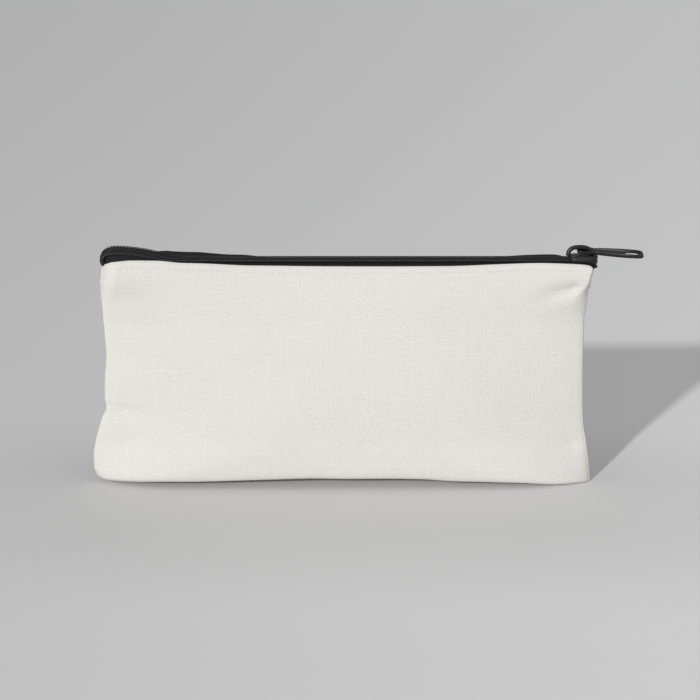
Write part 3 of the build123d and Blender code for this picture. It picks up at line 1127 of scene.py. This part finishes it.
    def build(self) -> None:
        """Makes the canvas and its threads."""
        front = self.panel("front_canvas", -1)
        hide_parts("front_panel")
        self.mouth.hang(front)
        back = self.panel("back_canvas", 1)
        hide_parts("back_panel")
        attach(back, BACK)
        front_row = self.topstitch("front_hem_stitches", -1)
        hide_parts("front_topstitch")
        self.mouth.hang(front_row)
        back_row = self.topstitch("back_hem_stitches", 1)
        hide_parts("back_topstitch")
        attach(back_row, BACK)
        for name, end in (("left", -1), ("right", 1)):
            row, edge = self.seam_threads(name, end)
            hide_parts(f"{name}_seam_stitching")
            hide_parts(f"{name}_seam_overlock")
            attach(row, BACK)
            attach(edge, BACK)
        row, edge = self.bottom_threads()
        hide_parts("bottom_seam_stitching")
        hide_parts("bottom_seam_overlock")
        self.mouth.hang(row)
        self.mouth.hang(edge)
        log.info("canvas panels and their stitches made")


# --------------------------------------------------------------------------- zip


@dataclass
class Chain:
    """The coil zip: two tapes, two coils with their cords and stitches, and the end tacks."""

    form: CaseForm
    wardrobe: Wardrobe
    mouth: Mouth
    route: Path = field(
        default_factory=lambda: Path(
            (
                (-103.4, 98.3), (-104.4, 100.4), (-103.4, 103.0), (-100.2, 104.35),
                (-95.2, 104.35), (-88.5, 103.65), (-82.5, 102.6), (-77.0, 101.2), (-70.0, 100.65),
                (-50.0, 100.6), (0.0, 100.6), (60.0, 100.6), (97.0, 100.6), (110.4, 100.6),
            )
        )
    )
    coil_outer: float = 3.0
    coil_inner: float = -0.42
    coil_height: float = 2.4
    wire: float = 0.66
    tape: float = 0.5
    tape_under: float = 1.22  # below the coil's centre
    tape_edge: float = 0.55
    tape_drop: float = 10.8
    tape_right: float = 109.3
    draw_in: float = 4.2  # of the tape's lower edge, at the right end
    hem_layers: float = 1.68
    bulge: Line = Line(
        (
            (-100, 0.0), (-91, 1.4), (-82, 3.3), (-72, 4.0), (-64, 3.95), (-57, 3.4), (-50, 2.85),
            (-43, 2.65), (-36, 2.0), (-28, 1.2), (-12, 0.6), (50, 0.7), (60, 1.2), (72, 2.1),
            (80, 2.6), (92, 3.0), (98, 1.8), (104, 0.0),
        )
    )

    @staticmethod
    def roll(x: float) -> float:
        """How far the chain is turned towards the front, in degrees."""
        return 28.0 * (1 - smooth((x + 88) / 22)) * smooth((x + 107) / 8)

    def over(self, distance: float, y: float, up: float) -> Vector:
        """A point beside the route: so far along it, to the side, and up from it."""
        at, way = self.route.at(min(max(distance, 0.0), self.route.length - 0.001))
        past = max(distance - self.route.length, 0.0)
        roll = math.radians(self.roll(at.x))
        c, s = math.cos(roll), math.sin(roll)
        y, up = y * c - up * s, y * s + up * c
        return Vector((at.x - way.y * up + past, y, at.y + way.x * up))

    def coil(self, name: str, side: int) -> bpy.types.Object:
        """One coil, whose heads reach between the other's."""
        turn = Mesh.TURN
        start = 0.4 + (turn / 2 if side > 0 else 0.0)
        turns = int((self.route.length - start) / turn)
        width = self.coil_outer - self.coil_inner
        middle = (self.coil_outer + self.coil_inner) / 2

        def place(co: Vector) -> Vector:
            distance = start + co.x * turn
            parted = 0.24 * smooth((distance - self.route.length + 8) / 4)
            y = self.coil_outer - (self.coil_outer - co.y - middle) * (1 - parted)
            return self.over(distance, side * y, co.z)

        mesh = Mesh().coil(turns, width, self.coil_height, self.wire, place)
        return mesh.piece(name, self.wardrobe.by_slot[Slot.COIL], Slot.COIL)

    def cord(self, name: str, side: int) -> bpy.types.Object:
        """The soft cord that fills a coil."""
        length = self.route.length - 1

        def place(co: Vector) -> Vector:
            return self.over(0.5 + co.x * length, side * (1.5 + co.y * 1.2), co.z * 0.98)

        mesh = Mesh().tube(260, 1.0, place, sides=10)
        return mesh.piece(name, self.wardrobe.by_slot[Slot.ZIP_THREAD], Slot.ZIP_THREAD)

    def stitching(self, name: str, side: int) -> bpy.types.Object:
        """The two rows of chain stitch that hold a coil on its tape."""
        mesh, distance = Mesh(), 1.0
        up = self.coil_height / 2 + 0.02
        while distance < self.route.length - 2.2:
            for y, thick in ((side * 2.15, 0.42), (side * 1.35, 0.34)):
                a, b = self.over(distance, y, up), self.over(distance + 1.75, y, up - 0.05)
                mesh.stitch(a, b, thick, Vector((0, 0, 1)))
            distance += Mesh.TURN
        return mesh.piece(name, self.wardrobe.by_slot[Slot.ZIP_THREAD], Slot.ZIP_THREAD)

    def tape_point(self, a: float, b: float, side: int) -> tuple[Vector, float, float]:
        """A point of a tape's upper and outer face.

        Args:
            a: the share of the way along.
            b: the share of the way across, from under the coil to its bottom edge in the hem.
            side: the front (-1) or the back (1).

        Returns:
            The point, and its place on the flat tape.
        """
        whole = self.route.length + self.tape_right - 110.4
        distance = a * whole
        inner = self.over(distance, side * self.tape_edge, -self.tape_under)
        x = min(max(inner.x, self.form.left_seam(97) + 0.6), self.form.right_seam(97) - 0.3)
        fold = self.form.fold(x, side)
        deep = self.form.half_depth(x, fold - 2, side) - self.hem_layers
        free = smooth((inner.x - 104.5) / 3)
        y_out = mix(max(deep, 0.25), 4.9, free)
        z_out = mix(fold - 0.9, inner.z, smooth((self.form.from_seam(x, 97) - 3) / 6))
        z_out = min(z_out, fold - 0.5)
        if side > 0:
            z_out += self.back_bulge(x)
        z_out = mix(z_out, inner.z - 0.3, free)
        tucked = smooth((self.form.from_seam(x, 97) - 1.5) / 6)
        low = mix(fold - mix(1.6, self.tape_drop, tucked), inner.z - 1.1, free)
        low_y = mix(max(self.form.half_depth(x, low, side) - self.hem_layers, 0.1), 5.0, free)
        corner = 0.62
        if b < corner:
            t = b / corner
            bend = 1 - math.sqrt(1 - t**6)
            y = mix(self.tape_edge, y_out, 1 - (1 - t) ** 1.15)
            z = mix(inner.z, z_out, t**2.4) - 0.7 * bend
        else:
            t = (b - corner) / (1 - corner)
            y = mix(y_out, low_y, t) + 0.12 * math.sin(math.pi * t)
            z = mix(z_out - 0.7, low, t)
        reach = (
            mix(inner.x, x, b)
            if inner.x < 0
            else inner.x - self.draw_in * free * smooth((inner.x - 107.5) / 3.0) * b
        )
        return Vector((reach, side * y, z)), distance, b * 16.0

    def back_bulge(self, x: float) -> float:
        """How much the back tape stands up behind the chain."""
        return self.bulge(x)

    def tape_piece(self, name: str, side: int) -> bpy.types.Object:
        """One woven tape."""
        mesh = Mesh().sheet(260, 20, lambda a, b: self.tape_point(a, b, side))
        if side > 0:
            bmesh.ops.reverse_faces(mesh.bm, faces=mesh.bm.faces)
        piece = mesh.piece(name, self.wardrobe.by_slot[Slot.TAPE], Slot.TAPE)
        solid(piece, self.tape)
        return piece

    def tacks(self) -> bpy.types.Object:
        """The satin-stitched bar at each end, which holds the two tapes together."""
        mesh = Mesh()
        for start, half in ((0.6, 2.7), (self.route.length - 3.6, 2.2)):
            for k in range(4):
                for layer in (0.0, 0.28):
                    a = self.over(start + k * 0.27 + layer * 0.4, layer - half, layer - 0.9)
                    b = self.over(start + k * 0.27 + 0.1, half - layer, layer - 0.9)
                    mesh.stitch(a, b, 0.34, Vector((0, 0, 1)))
        return mesh.piece("zip_end_bars", self.wardrobe.by_slot[Slot.ZIP_THREAD], Slot.ZIP_THREAD)

    def build(self) -> None:
        """Makes the whole chain."""
        for word, side in (("front", -1), ("back", 1)):
            parts = {
                self.coil(f"{word}_teeth", side): [f"{word}_coil"],
                self.tape_piece(f"{word}_zip_tape", side): [f"{word}_tape"],
                self.cord(f"{word}_filler_cord", side): [f"{word}_core_cord"],
                self.stitching(f"{word}_teeth_stitches", side): [f"{word}_coil_stitching"],
            }
            for piece, nodes in parts.items():
                if side < 0:
                    ends = {"front_coil": "front_coil_ends", "front_tape": "front_tape_ends"}
                    nodes += [ends[n] for n in nodes if n in ends]
                    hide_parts(*nodes)
                    self.mouth.hang(piece)
                else:
                    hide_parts(*nodes)
                    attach(piece, BACK)
        bars = self.tacks()
        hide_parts("zip_end_tacks")
        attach(bars, BACK)
        log.info("zip chain made, %.0f mm long", self.route.length)


# --------------------------------------------------------------------------- slider and pull


@dataclass
class Slider:
    """The slider's body with its crown, and the pull in it."""

    wardrobe: Wardrobe
    low: Vector
    high: Vector
    plate: float = 1.0
    tail: float = 7.4  # width at the joined end
    crown_length: float = 12.0
    crown_shift: float = -1.25  # towards the joined end
    pull_shift: float = -1.9  # of the pull, which lies against the crown's near leg
    crown_metal: float = 1.8
    crown_width: float = 2.1
    pull_slope: float = 4.0
    pull_roll: float = 13.0
    pull_reach: float = 28.2
    pivot_drop: float = 2.55  # below the crown's top

    @property
    def centre(self) -> float:
        """The slider's place along the zip."""
        return (self.low.x + self.high.x) / 2

    def plan(self, share: float, inset: float = 0.0) -> tuple[float, float]:
        """A point of a plate's outline, wide at the open end and narrower at the joined end.

        Args:
            share: the share of the way round.
            inset: how far in from the edge.

        Returns:
            The point, from the slider's centre.
        """
        turn = 2 * math.pi * share
        c, s = math.cos(turn), math.sin(turn)
        half = (self.high.x - self.low.x) / 2 - inset
        x = half * math.copysign(abs(c) ** 0.42, c)
        wide = (
            mix(self.tail, self.high.y - self.low.y, smooth((x + half) / half * 0.62)) / 2 - inset
        )
        return x, wide * math.copysign(abs(s) ** 0.5, s)

    def shield(self, mesh: Mesh, bottom: float, top: float, dome: float) -> None:
        """Adds one plate with rounded edges.

        Args:
            mesh: where it goes.
            bottom: the height of its underside.
            top: the height of its top's edge.
            dome: how far its middle stands above the edge, or below if negative.
        """
        rings = (
            (3.6, 0.0), (1.0, 0.0), (0.3, 0.0), (0.08, 0.1), (0.0, 0.25), (0.0, 0.75),
            (0.12, 0.93), (0.35, 1.0), (1.0, 1.06), (2.2, 1.2), (3.6, 1.3),
        )
        disc = bmesh.ops.create_grid(mesh.bm, x_segments=56, y_segments=len(rings) - 1, size=0.5)
        for vert in disc["verts"]:
            inset, up = rings[round((vert.co.y + 0.5) * (len(rings) - 1))]
            x, y = self.plan(vert.co.x + 0.5, inset)
            rise = min(up, 1.0) * (top - bottom) + max(up - 1.0, 0.0) / 0.3 * dome
            z = bottom + rise if dome >= 0 else top - rise
            vert.co = Vector((self.centre + x, y, z)) * MM
        bmesh.ops.remove_doubles(mesh.bm, verts=disc["verts"], dist=0.000002)

    def body(self) -> bpy.types.Object:
        """The two plates, their side walls, the post between them and the crown."""
        mesh = Mesh()
        top, base = self.high.z - 4.5, self.low.z
        self.shield(mesh, top - self.plate, top, 0.25)
        self.shield(mesh, base, base + self.plate, -0.2)
        mesh.closed()
        for side in (-1, 1):
            self.wall(mesh, side)
        self.crown(mesh, top)
        post = mesh.box(Vector((4.4, 0.5, 4.6)), Vector((self.centre + 3.4, 0, top - 2.6)))
        bmesh.ops.scale(mesh.bm, verts=post, vec=(MM, MM, MM))
        # The slider's faces get a little painted highlight as grey metal.
        return self.metal(mesh, "slider_shell", 0.12)

    def wall(self, mesh: Mesh, side: int) -> None:
        """Adds the flange that guides one coil, turned down from the top plate."""
        low = self.low.z + 1.9
        high = self.high.z - 4.5 - 0.5
        made = bmesh.ops.create_grid(mesh.bm, x_segments=28, y_segments=8, size=0.5)
        span = 0.40
        for vert in made["verts"]:
            around = vert.co.y + 0.5
            share = 0.25 - span / 2 + span * (vert.co.x + 0.5)
            inset = (0.05, 0.05, 0.05, 0.25, 0.6, 0.9, 1.1, 1.1, 0.5)[round(around * 8)]
            middle = (low + high) / 2
            levels = (high, middle, low + 0.3, low, low, low + 0.1, low + 0.4, high, high)
            z = levels[round(around * 8)]
            x, y = self.plan(share, inset)
            vert.co = Vector((self.centre + x, side * y, z)) * MM
        mesh.closed()

    def crown(self, mesh: Mesh, top: float) -> None:
        """Adds the arch that the pull hangs from."""
        half, rise = self.crown_length / 2, self.high.z - top
        made = bmesh.ops.create_grid(mesh.bm, x_segments=30, y_segments=12, size=0.5)
        for vert in made["verts"]:
            turn = math.pi * (vert.co.x + 0.5)
            round_it = 2 * math.pi * (vert.co.y + 0.5)
            c, s = math.cos(round_it), math.sin(round_it)
            out = math.copysign(abs(c) ** 0.6, c) * self.crown_metal / 2
            wide = math.copysign(abs(s) ** 0.6, s) * self.crown_width / 2
            wide *= mix(1.35, 1.0, smooth(math.sin(turn) * 2))
            cx, cz = math.cos(turn), math.sin(turn)
            arm = Vector((math.copysign(abs(cx) ** 0.8, cx), 0, cz**0.75))
            size = Vector((half - self.crown_metal / 2, 0, rise - self.crown_metal / 2))
            at = Vector((arm.x * size.x, wide, arm.z * size.z)) + Vector((cx, 0, cz)) * out
            vert.co = (at + Vector((self.centre + self.crown_shift, 0, top - 0.25))) * MM
        bmesh.ops.remove_doubles(mesh.bm, verts=made["verts"], dist=0.000002)
        mesh.closed()

    def metal(self, mesh: Mesh, name: str, face_wear_and_highlight: float) -> bpy.types.Object:
        """Writes a metal piece out, with how much grey metal each point shows through its enamel,
        partly real rubbing and partly a painted highlight.

        Args:
            mesh: the shape.
            name: the piece's name.
            face_wear_and_highlight: how much grey metal its flat faces show, from 0 to 1, a painted
                highlight on the faces.

        Returns:
            The piece.
        """
        layer = mesh.bm.verts.layers.float.new(EnamelFinish.WEAR_AND_HIGHLIGHT)
        for vert in mesh.bm.verts:
            edge = (vert.calc_shell_factor() - 1.0) * 2.5
            # Grey metal on the edges is partly real rubbing and partly a painted highlight; on the
            # flat faces it is a painted highlight.
            vert[layer] = min(max(edge + face_wear_and_highlight, 0.0), 1.0)
        return mesh.piece(name, self.wardrobe.by_slot[Slot.METAL], Slot.METAL)

    def frame_ring(
        self, mesh: Mesh, inner: "Loop", outer: "Loop", section: tuple[tuple[float, float], ...]
    ) -> None:
        """Adds a flat frame between two outlines.

        Args:
            mesh: where it goes.
            inner: the outline of its opening.
            outer: its outer outline.
            section: its upper half's section, as distances from the opening's edge, or from the
                outer edge if negative, and half thicknesses.
        """
        upper = list(section)
        lower = [(d, -z) for d, z in reversed(section)]
        loop = upper + lower + [upper[0]]
        slope = Matrix.Rotation(math.radians(self.pull_slope), 3, "Y")
        slope = slope @ Matrix.Rotation(math.radians(self.pull_roll), 3, "X")
        pivot = Vector((self.centre + self.pull_shift, 0, self.high.z - self.pivot_drop))

        def place(a: float, b: float) -> Vector:
            start, end = inner.at(a), outer.at(a)
            gap = (end - start).length
            d, z = loop[round(b * (len(loop) - 1))]
            share = min(d / gap, 0.47) if d >= 0 else 1 - min((-d - 0.001) / gap, 0.47)
            at = start.lerp(end, share)
            return pivot + slope @ Vector((at.x, at.y, z))

        mesh.ring_of(112, len(loop) - 1, place)

    def pull(self) -> bpy.types.Object:
        """The pull tab: an eye round the crown, and a sunk panel with a slot at its far end."""
        mesh = Mesh()
        end = self.pull_reach
        eye = ((0.0, 0.3), (0.12, 0.55), (0.45, 0.66), (-0.45, 0.66), (-0.12, 0.55), (-0.001, 0.3))
        self.frame_ring(mesh, Loop(3.3, 2.3, 1.15, 0.5), Loop(3.45, 4.15, 3.0, 0.55), eye)
        panel = (
            (0.0, 0.2), (0.08, 0.34), (0.3, 0.4), (0.5, 0.36), (0.7, 0.24), (-1.0, 0.24),
            (-0.8, 0.45), (-0.5, 0.66), (-0.15, 0.55), (-0.001, 0.28),
        )
        slot = Loop(end - 5.1, 2.8, 1.4, 0.55)
        rim = Loop((end + 6.2) / 2, (end - 6.2) / 2, 3.75, 0.4, neck=2.7)
        self.frame_ring(mesh, slot, rim, panel)
        # The pull's faces get a stronger painted highlight as grey metal.
        return self.metal(mesh, "pull_handle", 0.42)

    def build(self) -> None:
        """Makes the slider and its pull."""
        body = self.body()
        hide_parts("slider_body")
        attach(body, "slider")
        pull = self.pull()
        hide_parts("pull_tab")
        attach(pull, "pull")
        log.info("slider and pull made")


@dataclass(frozen=True)
class Loop:
    """A rounded outline, whose near end may be narrower."""

    centre: float
    half_length: float
    half_width: float
    squareness: float
    neck: float | None = None

    def at(self, share: float) -> Vector:
        """The point at a share of the way round."""
        turn = 2 * math.pi * share
        c, s = math.cos(turn), math.sin(turn)
        x = self.half_length * math.copysign(abs(c) ** self.squareness, c)
        wide = self.half_width
        if self.neck is not None:
            wide = mix(self.neck, wide, smooth((x + self.half_length) / 16.0))
        return Vector((self.centre + x, wide * math.copysign(abs(s) ** self.squareness, s), 0))


# --------------------------------------------------------------------------- stage


@dataclass
class Studio:
    """The pale sweep, the lights and the camera."""

    target: tuple[float, float, float] = (0.00308, 0.0, 0.06034)
    distance: float = 0.727
    elevation: float = 14.0
    lens: float = 85.0
    key_turn: float = 28.0  # to the left of the camera
    key_height: float = 19.7
    key_power: float = 2.42
    key_size: float = 2.6  # degrees across
    fill: float = 0.40
    side_power: float = 0.32
    side_turn: float = -62.0

    def build(self) -> None:
        """Sets the stage."""
        scene = bpy.context.scene
        scene.view_settings.view_transform = "Standard"
        data = bpy.data.cameras.new("camera")
        data.lens = self.lens
        camera = bpy.data.objects.new("camera", data)
        scene.collection.objects.link(camera)
        up = math.radians(self.elevation)
        back = Vector((0, -math.cos(up), math.sin(up)))
        camera.location = Vector(self.target) + back * self.distance
        camera.rotation_euler = back.to_track_quat("Z", "Y").to_euler()
        scene.camera = camera
        self.lights(scene)
        self.floor(scene)

    def lights(self, scene: bpy.types.Scene) -> None:
        """The key light, front left and low, and an even fill."""
        self.sun(scene, "key", self.key_power, self.key_size, (self.key_turn, self.key_height))
        self.sun(scene, "side", self.side_power, 80.0, (self.side_turn, 24.0))
        world = bpy.data.worlds.new("fill")
        world.use_nodes = True
        sky = world.node_tree.nodes["Background"]
        sky.inputs["Color"].default_value = (1.0, 1.0, 1.0, 1)
        sky.inputs["Strength"].default_value = self.fill
        scene.world = world

    def sun(
        self,
        scene: bpy.types.Scene,
        name: str,
        power: float,
        size: float,
        way: tuple[float, float],
    ) -> None:
        """Adds a far light.

        Args:
            scene: where it goes.
            name: its name.
            power: its strength.
            size: how wide it looks, in degrees.
            way: its turn to the left of the camera and its height, in degrees.
        """
        data = bpy.data.lights.new(name, "SUN")
        data.energy = power
        data.angle = math.radians(size)
        light = bpy.data.objects.new(name, data)
        turn, up = (math.radians(angle) for angle in way)
        level = math.cos(up)
        towards = Vector((-math.sin(turn) * level, -math.cos(turn) * level, math.sin(up)))
        light.rotation_euler = towards.to_track_quat("Z", "Y").to_euler()
        scene.collection.objects.link(light)

    def floor(self, scene: bpy.types.Scene) -> None:
        """The paper sweep."""
        bm = bmesh.new()
        bmesh.ops.create_grid(bm, x_segments=1, y_segments=1, size=60.0)
        mesh = bpy.data.meshes.new("sweep")
        bm.to_mesh(mesh)
        bm.free()
        mesh.materials.append(SweepFinish().build())
        floor = bpy.data.objects.new("sweep", mesh)
        scene.collection.objects.link(floor)


def main() -> None:
    """Builds the case."""
    logging.basicConfig(level=logging.INFO, format="%(name)s: %(message)s")
    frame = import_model()
    Studio().build()
    wardrobe = Wardrobe()
    low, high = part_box("front_coil")
    mouth = Mouth(low[0] / MM, high[0] / MM)
    form = CaseForm()
    Canvas(form, wardrobe, mouth).build()
    Chain(form, wardrobe, mouth).build()
    low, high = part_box("slider_body")
    Slider(wardrobe, low / MM, high / MM).build()
    log.info("frame holds %d nodes", len(frame["nodes"]))


if __name__ == "__main__":
    main()
